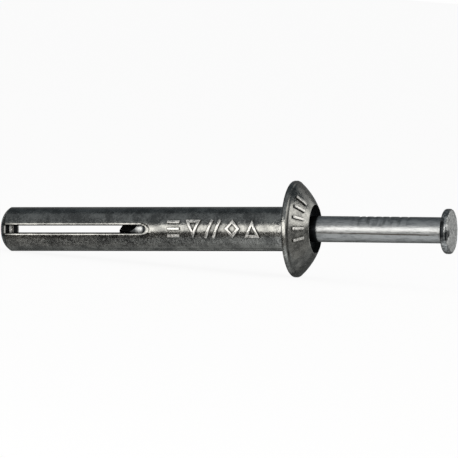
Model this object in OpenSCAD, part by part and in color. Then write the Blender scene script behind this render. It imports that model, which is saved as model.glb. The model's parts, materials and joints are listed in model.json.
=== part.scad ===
// Hammer fixing: a cast expansion sleeve with a domed head and a slotted shank,
// and the steel nail that is driven down it to spread the slotted part.
// The axis runs along X with the nail head towards +X. The origin is the centre of
// the underside of the sleeve's head. The fixing lies as it comes to rest on a flat
// surface, on the rim of its head and the edge of its nose.

/* [Sleeve shank] */
// Diameter of the shank
shank_d = 5.8; // [5.2:0.1:6.6]
// Length of the shank, from the underside of the head to the tip of the nose
shank_length = 40; // [36:1:60]
// Radius of the nose's rounding
nose_radius = 2.4; // [2.2:0.1:3]
// Diameter of the flat at the tip of the nose
nose_flat_d = 1.7; // [1.2:0.1:2.4]

/* [Sleeve head] */
// Diameter of the head
head_d = 12.6; // [10:0.1:15]
// Height of the head, from its underside to the rim of its recess
head_height = 2.93; // [2.4:0.01:4]
// Height of the upright band at the edge of the head
band_height = 0.57; // [0.4:0.01:0.8]
// Radius of the dome between the band and the recess, seen in section
dome_radius = 10; // [7:0.5:20]
// Rounding of the lower edge of the band
band_round = 0.25; // [0.1:0.05:0.3]
// Fillet between the shank and the underside of the head
neck_fillet = 0.2; // [0.1:0.05:0.4]
// Width of the flat ring round the mouth of the recess
recess_land = 0.06; // [0.04:0.01:0.2]

/* [Slot through the shank] */
// Distance from the underside of the head to the centre of the slot's round end
slot_from_head = 20.2; // [18:0.1:24]
// Width of the slot at the axis, where it is narrowest
slot_width = 0.8; // [0.6:0.05:1.1]
// Draft of each wall of the slot, in degrees
slot_draft = 3.5; // [2:0.5:7]
// Depth of the bevel along the mouths of the slot
slot_bevel = 0.2; // [0.15:0.05:0.4]
// Thickness of the nose left at the closed end of the slot
nose_wall = 1.1; // [1:0.1:2.5]

/* [Bore inside the sleeve] */
// Diameter of the narrow bore between the two legs
pilot_d = 2; // [1.6:0.1:2.4]
// Depth of the dimple that the narrow bore leaves in the nose
dimple_depth = 0.4; // [0.2:0.1:0.6]
// Space left round the nail in its bore
bore_clearance = 0.05; // [0.03:0.01:0.15]
// Space left in front of the nail's point where the bore narrows
point_clearance = 0.15; // [0.1:0.05:0.4]
// Space left round the nail head in the recess
recess_clearance = 0.2; // [0.1:0.05:0.4]
// Depth of the driven nail head below the rim of the recess
head_sink = 0.25; // [0.1:0.05:0.5]

/* [Nail] */
// Diameter of the nail
nail_d = 3.4; // [3:0.1:3.8]
// Length of the nail from the underside of its head to its point
nail_length = 44.4; // [42:0.1:48]
// Distance that the nail has still to be driven
nail_travel = 18.65; // [17:0.01:19.5]
// Diameter of the nail head
nail_head_d = 5.9; // [5:0.1:7]
// Thickness of the nail head
nail_head_height = 0.78; // [0.7:0.01:1.3]
// Rounding of the struck edge of the nail head
nail_head_round = 0.38; // [0.2:0.02:0.46]
// Rounding of the lower edge of the nail head
nail_head_under_round = 0.1; // [0.05:0.05:0.2]
// Fillet between the nail and its head
nail_neck_fillet = 0.25; // [0.1:0.05:0.4]

/* [Nail point] */
// Length of the four facets of the point
point_length = 3.2; // [2:0.1:4]
// Width of the blunt end of the point
point_flat = 0.9; // [0.6:0.1:1.2]
// Turn of the facets about the axis, in degrees
point_turn = 55; // [0:5:90]
// Slant of the blunt end, in degrees
point_slant = 28; // [0:1:30]

/* [Grip marks on the nail] */
// Number of marks that the forming grips left on the upper side
grip_count = 7; // [3:1:9]
// Distance from one mark to the next
grip_pitch = 1.05; // [0.9:0.05:1.3]
// Depth of a mark
grip_depth = 0.09; // [0.05:0.01:0.15]
// Radius of the hollow of a mark, seen from the side
grip_radius = 0.5; // [0.3:0.05:0.7]
// Distance from the underside of the nail head to the nearest mark
grip_from_head = 4.6; // [3:0.1:6]

/* [Hidden] */
$fn = 96;

// Room by which a cutting shape reaches past what it cuts
over = 1;

shank_r = shank_d / 2;
head_r = head_d / 2;
nail_r = nail_d / 2;
nail_head_r = nail_head_d / 2;
pilot_r = pilot_d / 2;

// The nose's arc starts at the flat tip and meets the shank at an edge
nose_flat_r = nose_flat_d / 2;
nose_drop = sqrt(pow(nose_radius, 2) - pow(shank_r - nose_flat_r, 2));
nose_height = nose_radius - nose_drop;
nose_edge_z = nose_height - shank_length;

// The recess takes the nail head and the bore takes the nail
recess_r = nail_head_r + recess_clearance;
recess_floor_z = head_height - nail_head_height - head_sink;
bore_r = nail_r + bore_clearance;

// The dome's arc runs from the top of the band to the ring round the recess
dome_foot = [head_r, band_height];
dome_top = [recess_r + recess_land, head_height];
dome_chord = dome_foot - dome_top;
dome_half = norm(dome_chord) / 2;
dome_inward = [dome_chord[1], -dome_chord[0]] / norm(dome_chord);
dome_centre = (dome_foot + dome_top) / 2 + dome_inward * sqrt(pow(dome_radius, 2) - pow(dome_half, 2));

// The slot's section across the shank, half of it: at the axis, under the bevel, past the surface
slot_end_z = nose_wall - shank_length;
slot_round_z = -slot_from_head;
slot_axis_half = slot_width / 2;
slot_bevel_y = shank_r - slot_bevel;
slot_mouth_half = slot_axis_half + slot_bevel_y * tan(slot_draft);
slot_past_y = shank_r + over;
slot_past_half = slot_mouth_half + slot_bevel + over;

// The nail as far down the sleeve as it has been driven
nail_seat_z = recess_floor_z + nail_travel;
nail_tip_z = nail_seat_z - nail_length;
point_half_angle = atan((nail_r - point_flat / 2) / point_length);

// The bore narrows just past the nail's point, along the line of the point's corners
corner_slope = sqrt(2) * tan(point_half_angle);
corner_start_z = nail_tip_z + (nail_r - point_flat / sqrt(2)) / corner_slope;
narrowing_top_z = corner_start_z - point_clearance;
narrowing_foot_z = narrowing_top_z - (bore_r - pilot_r) / corner_slope;

// At rest one line touches the rim of the head and the edge of the nose
rest_run = band_round - nose_edge_z;
rest_drop = head_r - band_round - shank_r;
rest_tilt = atan2(rest_drop, rest_run) + asin(band_round / norm([rest_run, rest_drop]));

// Lays a piece that is modelled upright, with its axis along Z, down as it rests
module laid_down() {
    rotate([0, -rest_tilt, 0])
        rotate([0, 90, 0])
            children();
}

// What rounding a square corner at the origin takes away, the corner pointing to +X -Y
module corner_waste(radius) {
    translate([-radius, 0])
        difference() {
            translate([0, -over])
                square([radius + over, radius + over]);
            translate([0, radius])
                circle(r = radius);
        }
}

// What a fillet adds in a corner at the origin, the open side to +X -Y
module corner_fill(radius) {
    difference() {
        translate([0, -radius])
            square(radius);
        translate([radius, -radius])
            circle(r = radius);
    }
}

// Half section of the shank, with its rounded nose
module shank_section() {
    translate([0, nose_edge_z])
        square([shank_r, -nose_edge_z + band_height / 2]);
    intersection() {
        translate([0, -shank_length])
            square([shank_r, nose_height]);
        union() {
            translate([nose_flat_r, nose_radius - shank_length])
                circle(r = nose_radius);
            translate([0, -shank_length])
                square([nose_flat_r, nose_radius]);
        }
    }
    translate([shank_r, 0])
        corner_fill(neck_fillet);
}

// Half section of the domed head
module head_section() {
    difference() {
        intersection() {
            square([head_r, head_height]);
            translate(dome_centre)
                circle(r = dome_radius, $fn = 4 * $fn);
        }
        translate([head_r, 0])
            corner_waste(band_round);
    }
}

// The recess, the nail's bore, its narrowing and the narrow bore down to the nose
module sleeve_hollow() {
    rotate_extrude()
        polygon([
            [0, slot_end_z - dimple_depth],
            [pilot_r, slot_end_z - dimple_depth],
            [pilot_r, narrowing_foot_z],
            [bore_r, narrowing_top_z],
            [bore_r, recess_floor_z],
            [recess_r, recess_floor_z],
            [recess_r, head_height + over],
            [0, head_height + over]
        ]);
}

// The slot through both sides of the shank: drafted walls, a square end at the nose
// and a round end towards the head
module slot() {
    half = [
        [slot_past_half, -slot_past_y],
        [slot_mouth_half, -slot_bevel_y],
        [slot_axis_half, 0],
        [slot_mouth_half, slot_bevel_y],
        [slot_past_half, slot_past_y]
    ];
    other_half = [for (i = [len(half) - 1:-1:0]) [-half[i][0], half[i][1]]];
    translate([0, 0, slot_end_z])
        linear_extrude(height = slot_round_z - slot_end_z)
            polygon(concat(half, other_half));
    for (side = [-90, 90])
        translate([0, 0, slot_round_z])
            rotate([side, 0, 0]) {
                cylinder(h = slot_bevel_y, r1 = slot_axis_half, r2 = slot_mouth_half);
                translate([0, 0, slot_bevel_y])
                    cylinder(h = slot_past_y - slot_bevel_y, r1 = slot_mouth_half, r2 = slot_past_half);
            }
}

// The sleeve, cast in one piece
module expansion_sleeve() {
    color("#5c5e5d")
        laid_down()
            difference() {
                rotate_extrude() {
                    shank_section();
                    head_section();
                }
                sleeve_hollow();
                slot();
            }
}

// Half section of the nail's head, with the fillet under it
module nail_head_section() {
    translate([0, nail_seat_z])
        difference() {
            square([nail_head_r, nail_head_height]);
            translate([nail_head_r, 0])
                corner_waste(nail_head_under_round);
            translate([nail_head_r, nail_head_height])
                mirror([0, 1])
                    corner_waste(nail_head_round);
        }
    translate([nail_r, nail_seat_z])
        corner_fill(nail_neck_fillet);
}

// What the four facets and the slanted end take off the nail's point
module point_waste() {
    reach = nail_d + point_length;
    for (i = [0:3])
        rotate([0, 0, point_turn + 90 * i])
            translate([point_flat / 2, 0, nail_tip_z])
                rotate([0, point_half_angle, 0])
                    translate([0, -reach, -reach])
                        cube([reach, 2 * reach, 3 * reach]);
    translate([point_flat / 2, 0, nail_tip_z])
        rotate([0, point_slant, 0])
            translate([-reach, -reach, -reach])
                cube([2 * reach, 2 * reach, reach]);
}

// Hollows across the upper side of the nail
module grip_marks() {
    for (i = [0:grip_count - 1])
        translate([-(nail_r + grip_radius - grip_depth), 0, nail_seat_z - grip_from_head - i * grip_pitch])
            rotate([90, 0, 0])
                cylinder(h = nail_d, r = grip_radius, center = true);
}

// The nail, forged from one length of wire
module drive_nail() {
    color("#aeb4ba")
        laid_down()
            difference() {
                rotate_extrude() {
                    translate([0, nail_tip_z])
                        square([nail_r, nail_length + nail_head_height / 2]);
                    nail_head_section();
                }
                point_waste();
                grip_marks();
            }
}

expansion_sleeve();
drive_nail();
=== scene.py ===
"""Hammer fixing: the look of a cast expansion sleeve and the drive nail that stands in it.

Both pieces are turned about the fixing's own axis, which leans a little because the fixing
lies on the rim of its head and the edge of its nose. Each piece is modelled with its axis
along X, with the underside of the sleeve's head at zero, and is then laid down as it rests.
"""

import json
import math
import random
from collections import namedtuple
from contextlib import contextmanager

import bpy
from bpy.props import FloatProperty, FloatVectorProperty, IntProperty, PointerProperty
from bpy.types import Operator, Panel, PropertyGroup
from mathutils import Matrix, Vector, noise


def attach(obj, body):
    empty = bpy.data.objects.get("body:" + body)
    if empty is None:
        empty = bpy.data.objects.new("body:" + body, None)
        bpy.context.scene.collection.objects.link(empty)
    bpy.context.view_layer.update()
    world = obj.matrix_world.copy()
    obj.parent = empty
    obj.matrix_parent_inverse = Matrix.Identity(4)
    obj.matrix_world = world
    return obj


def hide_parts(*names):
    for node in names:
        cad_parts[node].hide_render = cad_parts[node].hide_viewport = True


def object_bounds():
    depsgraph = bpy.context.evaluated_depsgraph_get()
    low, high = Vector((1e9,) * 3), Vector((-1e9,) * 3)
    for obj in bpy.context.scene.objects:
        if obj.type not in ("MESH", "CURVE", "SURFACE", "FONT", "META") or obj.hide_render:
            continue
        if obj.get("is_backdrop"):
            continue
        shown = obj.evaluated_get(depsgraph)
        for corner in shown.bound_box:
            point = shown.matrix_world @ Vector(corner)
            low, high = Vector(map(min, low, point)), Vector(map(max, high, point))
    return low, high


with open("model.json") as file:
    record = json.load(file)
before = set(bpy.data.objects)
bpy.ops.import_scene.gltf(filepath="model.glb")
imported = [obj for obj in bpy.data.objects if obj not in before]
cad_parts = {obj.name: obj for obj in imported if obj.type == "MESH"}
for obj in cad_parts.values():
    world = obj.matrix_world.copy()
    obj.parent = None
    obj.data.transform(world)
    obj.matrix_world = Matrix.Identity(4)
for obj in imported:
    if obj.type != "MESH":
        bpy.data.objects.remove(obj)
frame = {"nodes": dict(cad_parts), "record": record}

bl_info = {
    "name": "Hammer fixing",
    "version": (1, 0, 0),
    "blender": (4, 5, 0),
    "location": "View3D > Sidebar > Fixing",
    "description": "Builds a cast expansion sleeve with its drive nail, and a small studio round them",
    "category": "Object",
}

MM = 0.001
# Points nearer than this count as one
WELD = 1e-7
SHARP_ANGLE = math.radians(30)
# Width and height of the picture, in points
PICTURE_SIDE = 458


# The frame

def mount(name):
    """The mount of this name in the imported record."""
    return next(m for m in frame["record"]["mounts"] if m["name"] == name)


AXIS = -Vector(mount("head_seat")["axis"]).normalized()
UPWARD = Vector((-AXIS.z, 0, AXIS.x))
REST_TILT = math.atan2(AXIS.z, AXIS.x)


def node_reach(name):
    """How far a node reaches along the axis, both ways, and its largest radius."""
    node = frame["nodes"][name]
    along = [v.co.dot(AXIS) for v in node.data.vertices]
    across = [(v.co - v.co.dot(AXIS) * AXIS).length for v in node.data.vertices]
    return min(along), max(along), max(across)


SLEEVE_FOOT, SLEEVE_TOP, SLEEVE_RADIUS = node_reach("expansion_sleeve")
NAIL_TIP, NAIL_FACE, NAIL_HEAD_RADIUS = node_reach("drive_nail")
SHANK_RADIUS = mount("shank")["dims"]["r_mm"] * MM


# Sizes and colours that a user would change

def length_property(name, description, default):
    """A length that a user may change."""
    return FloatProperty(name=name, description=description, default=default, unit="LENGTH", precision=5)


def angle_property(name, description, degrees):
    """An angle that a user may change, its default given in degrees."""
    return FloatProperty(
        name=name, description=description, default=math.radians(degrees), subtype="ANGLE")


def colour_property(name, description, default):
    """A colour that a user may change."""
    return FloatVectorProperty(
        name=name, description=description, default=default, subtype="COLOR", size=3, min=0, max=1)


class SleeveSizes(PropertyGroup):
    """Sizes of the cast sleeve."""

    shank_radius: length_property("Shank radius", "Radius of the shank", SHANK_RADIUS)
    shank_length: length_property(
        "Shank length", "From the underside of the head to the tip of the nose", -SLEEVE_FOOT)
    nose_radius: length_property("Nose radius", "Radius of the nose's rounding", 2.4 * MM)
    nose_flat: length_property("Nose flat", "Radius of the flat at the tip of the nose", 0.85 * MM)
    head_radius: length_property("Head radius", "Radius of the domed head", SLEEVE_RADIUS)
    head_height: length_property(
        "Head height", "From the underside of the head to the rim of its recess", SLEEVE_TOP)
    band_height: length_property(
        "Band height", "Height of the upright band at the edge of the head", 0.57 * MM)
    dome_radius: length_property("Dome radius", "Radius of the dome, seen in section", 10 * MM)
    dome_groove: length_property("Dome groove", "Depth of the groove at the foot of the dome", 0.05 * MM)
    recess_radius: length_property(
        "Recess radius", "Radius of the recess for the nail head", NAIL_HEAD_RADIUS + 0.2 * MM)
    recess_depth: length_property("Recess depth", "Depth of the recess below its rim", 1.03 * MM)
    bore_radius: length_property("Bore radius", "Radius of the bore that holds the nail", 1.75 * MM)
    pilot_radius: length_property("Narrow bore radius", "Radius of the bore between the two legs", 1 * MM)
    slot_from_head: length_property(
        "Slot start", "From the underside of the head to the slot's round end", 20.2 * MM)
    slot_half_width: length_property("Slot half width", "Half the width of the slot at the axis", 0.4 * MM)
    slot_turn: angle_property("Slot turn", "Turn of the slot about the axis, up at the front", 1)
    slot_draft: angle_property("Slot draft", "Draft of the slot's walls", 3.5)
    lip_radius: length_property(
        "Lip radius", "Radius between the slot's walls and its flat lips", 0.07 * MM)
    lip_land: length_property("Lip width", "Width of the flat lips along the slot", 0.11 * MM)
    end_stretch: FloatProperty(
        name="End stretch", description="How much longer than round the slot's end is", default=0.22)
    lip_stretch: FloatProperty(
        name="Lip stretch", description="How much wider the lip is at the slot's round end",
        default=0.3)
    nose_wall: length_property(
        "Nose wall", "Thickness of the nose left at the closed end of the slot", 1.1 * MM)
    parting_angle: angle_property(
        "Parting line", "Place of the parting line, below the front of the shank", 65)
    segments: IntProperty(
        name="Segments", description="Faces round the sleeve", default=192, min=48, max=256)


class NailSizes(PropertyGroup):
    """Sizes of the drive nail."""

    radius: length_property("Nail radius", "Radius of the nail's shank", 1.7 * MM)
    tip: length_property("Tip", "Place of the nail's tip along the axis", NAIL_TIP)
    face: length_property("Struck face", "Place of the struck face along the axis", NAIL_FACE + 0.04 * MM)
    head_radius: length_property("Nail head radius", "Radius of the nail head", NAIL_HEAD_RADIUS)
    head_height: length_property("Nail head height", "Thickness of the nail head", 1.06 * MM)
    point_length: length_property("Point length", "Length of the point's four facets", 3.2 * MM)
    point_flat: length_property("Point flat", "Width of the blunt end of the point", 0.9 * MM)
    point_turn: angle_property("Point turn", "Turn of the facets about the axis", 55)
    point_slant: angle_property("Point slant", "Slant of the blunt end", 28)
    head_round: length_property("Struck edge", "Rounding of the struck edge of the nail head", 0.38 * MM)
    head_under_round: length_property(
        "Lower edge", "Rounding of the lower edge of the nail head", 0.36 * MM)
    grip_depth: length_property(
        "Grip mark depth", "Depth of the marks that the forming grips left", 0.10 * MM)
    lean: angle_property("Lean", "How far the nail leans down where it leaves the sleeve", 0.61)
    lean_start: length_property(
        "Lean start", "From the underside of the sleeve's head to where the nail leans", 3.5 * MM)
    head_tilt: angle_property(
        "Head tilt", "How far the nail head is tilted, its top away from the sleeve", 0.7)
    head_drop: length_property(
        "Head drop", "How far the nail head is forged off the nail's centre", 0.13 * MM)
    segments: IntProperty(
        name="Segments", description="Faces round the nail", default=128, min=48, max=256)


class MarkSizes(PropertyGroup):
    """Sizes of the plain raised marks on the casting."""

    height: length_property("Height", "How far the marks stand out of the casting", 0.25 * MM)
    stroke: length_property("Stroke", "Width of the marks' strokes", 0.4 * MM)
    figure: length_property("Figure height", "Height of a figure across the shank", 2.35 * MM)
    pitch: length_property("Pitch", "From one figure on the shank to the next", 2.68 * MM)
    first: length_property(
        "First figure", "From the underside of the head to the nearest figure", 4.85 * MM)
    rise: length_property("Rise", "How far the figures stand above the front of the shank", 0.1 * MM)


class FinishColours(PropertyGroup):
    """Colours of the two metals."""

    casting: colour_property("Casting", "Colour of the cast zinc", (0.30, 0.297, 0.28))
    casting_dark: colour_property(
        "Casting, dark", "Colour of the darker patches of the cast zinc", (0.125, 0.125, 0.12))
    # Also the painted glints at the slot's closed end, and the painted highlight on the slot's lips
    casting_worn: colour_property(
        "Casting, worn", "Colour of the rubbed edges of the cast zinc", (0.60, 0.59, 0.565))
    plating: colour_property("Plating", "Colour of the zinc plating on the nail", (0.40, 0.405, 0.405))
    # Near black: painted shade in the bores, the recess and at the slot's closed end, and on the nail in
    # its bore, on its point, in its dent and under its head
    inside: colour_property("Inside", "Colour of the sooty insides of the casting", (0.02, 0.022, 0.024))
    # Painted shade: in the corners at the foot of the raised marks, in the groove at the foot of the dome,
    # round the foot of the slot's lips and near its closed end
    painted_shade: colour_property("Dirt", "Colour of the dirt in the casting's corners", (0.045, 0.045, 0.042))
    # A painted dark reflection: a fine broken line along the nail, a little below its front
    dark_reflection_line: colour_property(
        "Draw line", "Colour of the fine line that drawing left along the nail", (0.07, 0.056, 0.042))
    plating_dark: colour_property(
        "Plating, dark", "Colour of the pits and grip marks in the plating", (0.13, 0.135, 0.135))
    plating_dull: colour_property(
        "Plating, dull", "Colour of the dull spots of the plating", (0.24, 0.245, 0.245))


class StudioSettings(PropertyGroup):
    """Camera, lamps and floor."""

    azimuth: angle_property("Azimuth", "Turn of the camera from the front towards the nail head", 16.99)
    elevation: angle_property("Elevation", "Height of the camera above the fixing's own axis", 1.4)
    distance: FloatProperty(
        name="Distance", description="From the camera to the origin", default=0.72, unit="LENGTH")
    scale: FloatProperty(
        name="Scale", description="Picture points to the millimetre at the origin", default=7.678)
    origin_across: FloatProperty(
        name="Origin across", description="Where the origin falls across the picture, in points",
        default=294.0)
    origin_down: FloatProperty(
        name="Origin down", description="Where the origin falls down the picture, in points",
        default=229.0)
    softbox_power: FloatProperty(
        name="Front softbox", description="Power of the softbox in front", default=1.72)
    side_power: FloatProperty(
        name="Side softbox", description="Power of the softbox beside the nail head", default=0.95)
    backdrop: colour_property("Backdrop", "Colour of the floor and the backdrop", (1.0, 1.0, 1.0))


# Modelling helpers

def only(piece):
    """Selects one object alone and makes it active."""
    bpy.ops.object.select_all(action="DESELECT")
    piece.select_set(True)
    bpy.context.view_layer.objects.active = piece


def linked(name, data):
    """A new object in the scene, for a mesh, a lamp or a camera."""
    thing = bpy.data.objects.new(name, data)
    bpy.context.collection.objects.link(thing)
    return thing


def new_object(name, points, edges=(), faces=()):
    """A new object from a few points, for the edit operators to work on."""
    mesh = bpy.data.meshes.new(name)
    mesh.from_pydata([tuple(p) for p in points], list(edges), list(faces))
    return linked(name, mesh)


def arc(centre, radius, start, end, steps):
    """Points of an arc in the section plane, its angles in radians."""
    return [
        (centre[0] + radius * math.cos(a), centre[1] + radius * math.sin(a))
        for a in (start + (end - start) * i / steps for i in range(steps + 1))
    ]


def divided(start, end, count):
    """Points that divide a straight stretch of a section line, without its ends."""
    a, b = Vector(start), Vector(end)
    return [tuple(a.lerp(b, i / count)) for i in range(1, count)]


@contextmanager
def editing(piece):
    """Edit mode on one object, all of it selected, for the length of a with block."""
    only(piece)
    bpy.ops.object.mode_set(mode="EDIT")
    bpy.ops.mesh.select_all(action="SELECT")
    yield
    bpy.ops.object.mode_set(mode="OBJECT")


def weld():
    """Welds the edited mesh where its points meet, and turns its faces outwards."""
    bpy.ops.mesh.select_all(action="SELECT")
    bpy.ops.mesh.remove_doubles(threshold=WELD)
    bpy.ops.mesh.normals_make_consistent(inside=False)


def chain(count):
    """Edges that join points in a row, each to the next."""
    return [(i, i + 1) for i in range(count - 1)]


def turned(name, line, segments):
    """A solid turned about the X axis from a section line of (along, radius) points."""
    piece = new_object(name, [(along, 0, radius) for along, radius in line], chain(len(line)))
    with editing(piece):
        bpy.ops.mesh.spin(steps=segments, angle=2 * math.pi, center=(0, 0, 0), axis=(1, 0, 0))
        weld()
    return piece


def combine(piece, tool, operation):
    """Cuts, joins or trims a piece with another, which is used up."""
    only(piece)
    step = piece.modifiers.new(operation.title(), "BOOLEAN")
    step.operation = operation
    step.solver = "EXACT"
    step.object = tool
    bpy.ops.object.modifier_apply(modifier=step.name)
    bpy.data.objects.remove(tool)


def joined(pieces):
    """Several pieces as one."""
    only(pieces[0])
    for piece in pieces[1:]:
        piece.select_set(True)
    bpy.ops.object.join()
    return pieces[0]


def settle(piece):
    """Writes a piece's place, turn and scale into its mesh."""
    only(piece)
    bpy.ops.object.transform_apply(location=True, rotation=True, scale=True)


def finish_piece(piece, material):
    """Lays a piece down at rest, smooths it between its sharp edges and gives it its material."""
    piece.rotation_euler = (0, -REST_TILT, 0)
    settle(piece)
    bpy.ops.object.shade_smooth_by_angle(angle=SHARP_ANGLE)
    piece.data.materials.clear()
    piece.data.materials.append(material)


# Expansion sleeve

NOSE_EDGE_ROUND = 0.12 * MM
NECK_FILLET = 0.2 * MM
BAND_ROUND = 0.25 * MM
BAND_TOP_ROUND = 0.06 * MM
GROOVE_ABOVE_BAND = 0.24 * MM
GROOVE_WIDTH = 0.1 * MM
# How far the parting line stands out of the shank, and how far from the head it ends
PARTING_LIFT = 0.03 * MM
PARTING_FROM_HEAD = 0.3 * MM
RECESS_FLOOR_ROUND = 0.1 * MM
BORE_EDGE = 0.05 * MM
POINT_CLEARANCE = 0.15 * MM
# How far the slot's cutter stands out of the shank, how far past the lips, and the slope of its sides
CUT_PAST_SHANK = 0.5 * MM
CUT_PAST_LIPS = 0.02 * MM
CUT_SLOPE = math.radians(30)
DOME_STEPS = 48
# Where the dome ends outside the recess, and its softened rim as (along, outwards) in millimetres
RIM_WIDTH = 0.06 * MM
RIM = ((-0.03, 0.13), (0, 0.03), (-0.05, 0))
# The dimple in the closed end: depths in millimetres, and shares of the narrow bore's radius
DIMPLE = ((0.14, 0.93), (0.26, 0.76), (0.35, 0.5), (0.39, 0.25), (0.4, 0))


def dome_ends(s):
    """Foot and top of the dome's arc in section."""
    return Vector((s.band_height, s.head_radius)), Vector((s.head_height, s.recess_radius + RIM_WIDTH))


def dome_centre(s):
    """Centre of the dome's arc in section, towards the nose."""
    foot, top = dome_ends(s)
    chord = foot - top
    towards_nose = Vector((chord.y, -chord.x)).normalized()
    reach = math.sqrt(s.dome_radius ** 2 - (chord.length / 2) ** 2)
    return (foot + top) / 2 - towards_nose * reach * math.copysign(1, towards_nose.x)


def dome_line(s):
    """The dome's arc from the top of the band to the rim of the recess."""
    foot, top = dome_ends(s)
    centre = dome_centre(s)
    start = math.atan2(*(foot - centre).yx)
    end = math.atan2(*(top - centre).yx)
    return arc(centre, s.dome_radius, start, end, DOME_STEPS)


def grooved(s, line):
    """The dome's line with a shallow groove a little above the band."""
    middle = s.band_height + GROOVE_ABOVE_BAND
    return [(x, r - s.dome_groove * math.exp(-((x - middle) / GROOVE_WIDTH) ** 2)) for x, r in line]


def outer_line(s):
    """Section of the outside, from the tip of the nose along the shank to the top of the band."""
    nose_drop = math.sqrt(s.nose_radius ** 2 - (s.shank_radius - s.nose_flat) ** 2)
    edge = s.nose_radius - nose_drop - s.shank_length
    nose_centre = (s.nose_radius - s.shank_length, s.nose_flat)
    edge_angle = math.atan2(s.shank_radius - s.nose_flat, edge - nose_centre[0])
    line = [(-s.shank_length, 0), (-s.shank_length, s.nose_flat / 2)]
    line += arc(nose_centre, s.nose_radius, math.pi, edge_angle, 16)
    shank = [(edge + NOSE_EDGE_ROUND, s.shank_radius), (-NECK_FILLET, s.shank_radius)]
    line += [shank[0]] + divided(*shank, 48) + [shank[1]]
    neck, brim = s.shank_radius + NECK_FILLET, s.head_radius - BAND_ROUND
    line += arc((-NECK_FILLET, neck), NECK_FILLET, -math.pi / 2, 0, 5)[1:]
    line += divided((0, neck), (0, brim), 8)
    line += arc((BAND_ROUND, brim), BAND_ROUND, math.pi, math.pi / 2, 6)
    return line + [(s.band_height - BAND_TOP_ROUND, s.head_radius)]


def top_line(s):
    """Section of the grooved dome and of the softened rim of the recess."""
    rim = [(s.head_height + along * MM, s.recess_radius + out * MM) for along, out in RIM]
    return grooved(s, dome_line(s)[1:-1]) + rim


def inner_line(s):
    """Section of the recess with its softened floor, the two bores and the dimple."""
    floor = s.head_height - s.recess_depth
    slot_end = s.nose_wall - s.shank_length
    wide, narrow = narrowing_of(s)
    corner, bevel = RECESS_FLOOR_ROUND, RECESS_FLOOR_ROUND * 0.3
    line = [
        (floor + corner, s.recess_radius),
        (floor + bevel, s.recess_radius - bevel),
        (floor, s.recess_radius - corner),
        (floor, s.bore_radius + BORE_EDGE),
        (floor - BORE_EDGE, s.bore_radius),
        (wide, s.bore_radius),
        (narrow, s.pilot_radius),
    ]
    line += divided((narrow, s.pilot_radius), (slot_end, s.pilot_radius), 12)
    line += [(slot_end, s.pilot_radius)]
    return line + [(slot_end - depth * MM, s.pilot_radius * share) for depth, share in DIMPLE]


def sleeve_line(s):
    """Section of the sleeve from the tip of its nose, over the head and back down its bores."""
    return outer_line(s) + top_line(s) + inner_line(s)


def narrowing_of(s):
    """Where the bore narrows in front of the nail's point, from its wide end to its narrow one."""
    nail = bpy.context.scene.fixing_nail
    slope = math.sqrt(2) * (nail.radius - nail.point_flat / 2) / nail.point_length
    corner = nail.tip + (nail.radius - nail.point_flat / math.sqrt(2)) / slope
    wide = corner - POINT_CLEARANCE
    return wide, wide - (s.bore_radius - s.pilot_radius) / slope


def slot_mouth(s):
    """Half of the slot's width where its walls meet the surface of the shank."""
    return s.slot_half_width + s.shank_radius * math.tan(s.slot_draft)


def slot_section(s):
    """Half of the slot's section across the shank, from its back mouth to its front one."""
    lip, slope = s.lip_radius, math.tan(s.slot_draft)
    depth = math.sqrt(s.shank_radius ** 2 - (slot_mouth(s) + lip + s.lip_land) ** 2)
    centre = (depth - lip, s.slot_half_width + (depth - lip) * slope + lip / math.cos(s.slot_draft))
    lips = arc(centre, lip, s.slot_draft - math.pi / 2, 0, 6)
    land_end = centre[1] + s.lip_land + CUT_PAST_LIPS
    past = s.shank_radius + CUT_PAST_SHANK
    spread = land_end + (past - depth) / math.tan(CUT_SLOPE)
    front = [(0, s.slot_half_width)] + lips + [(depth, land_end), (past, spread), (past, 0)]
    back = [(-y, w) for y, w in front[:0:-1]]
    return back + front


def stretch_round_end(cutter, s, start):
    """Draws the slot's round end out towards the head, its lip a little more than its walls."""
    mouth, width = slot_mouth(s), s.lip_radius + s.lip_land
    for v in cutter.data.vertices:
        ahead = v.co.x - start
        share = (math.hypot(ahead, v.co.z) - mouth) / width
        if ahead > 0:
            v.co.x = start + ahead * (1 + s.end_stretch + s.lip_stretch * min(1, max(0, share)))


def slot_cutter(s):
    """What cuts the slot: drafted walls with rounded lips, square at the nose, round at the head."""
    half = slot_section(s)
    start, end = -s.slot_from_head, s.nose_wall - s.shank_length
    cutter = new_object("slot_cutter", [(start, y, w) for y, w in half], chain(len(half)))
    with editing(cutter):
        bpy.ops.mesh.spin(steps=48, angle=math.pi, center=(start, 0, 0), axis=(0, -1, 0))
    stretch_round_end(cutter, s, start)
    ring = half + [(y, -w) for y, w in half[-2:0:-1]]
    loop = chain(len(ring)) + [(len(ring) - 1, 0)]
    straight = new_object("slot_straight", [(start, y, w) for y, w in ring], loop)
    with editing(straight):
        bpy.ops.mesh.extrude_region_move(TRANSFORM_OT_translate={"value": (end - start, 0, 0)})
        bpy.ops.mesh.edge_face_add()
    with editing(joined([cutter, straight])):
        weld()
    cutter.rotation_euler = (-s.slot_turn, 0, 0)
    settle(cutter)
    return cutter


def raise_parting_line(sleeve, s):
    """Moves two opposite lines of points on the shank a little outwards, where the dies met."""
    step = 2 * math.pi / s.segments
    target = round((-math.pi / 2 - s.parting_angle) / step) * step
    for v in sleeve.data.vertices:
        radius = math.hypot(v.co.y, v.co.z)
        on_shank = abs(radius - s.shank_radius) < 10 * WELD and v.co.x < -PARTING_FROM_HEAD
        turn = math.atan2(v.co.y, v.co.z) - target
        if on_shank and abs(math.sin(turn)) < step / 3:
            v.co.y *= (radius + PARTING_LIFT) / radius
            v.co.z *= (radius + PARTING_LIFT) / radius


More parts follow.
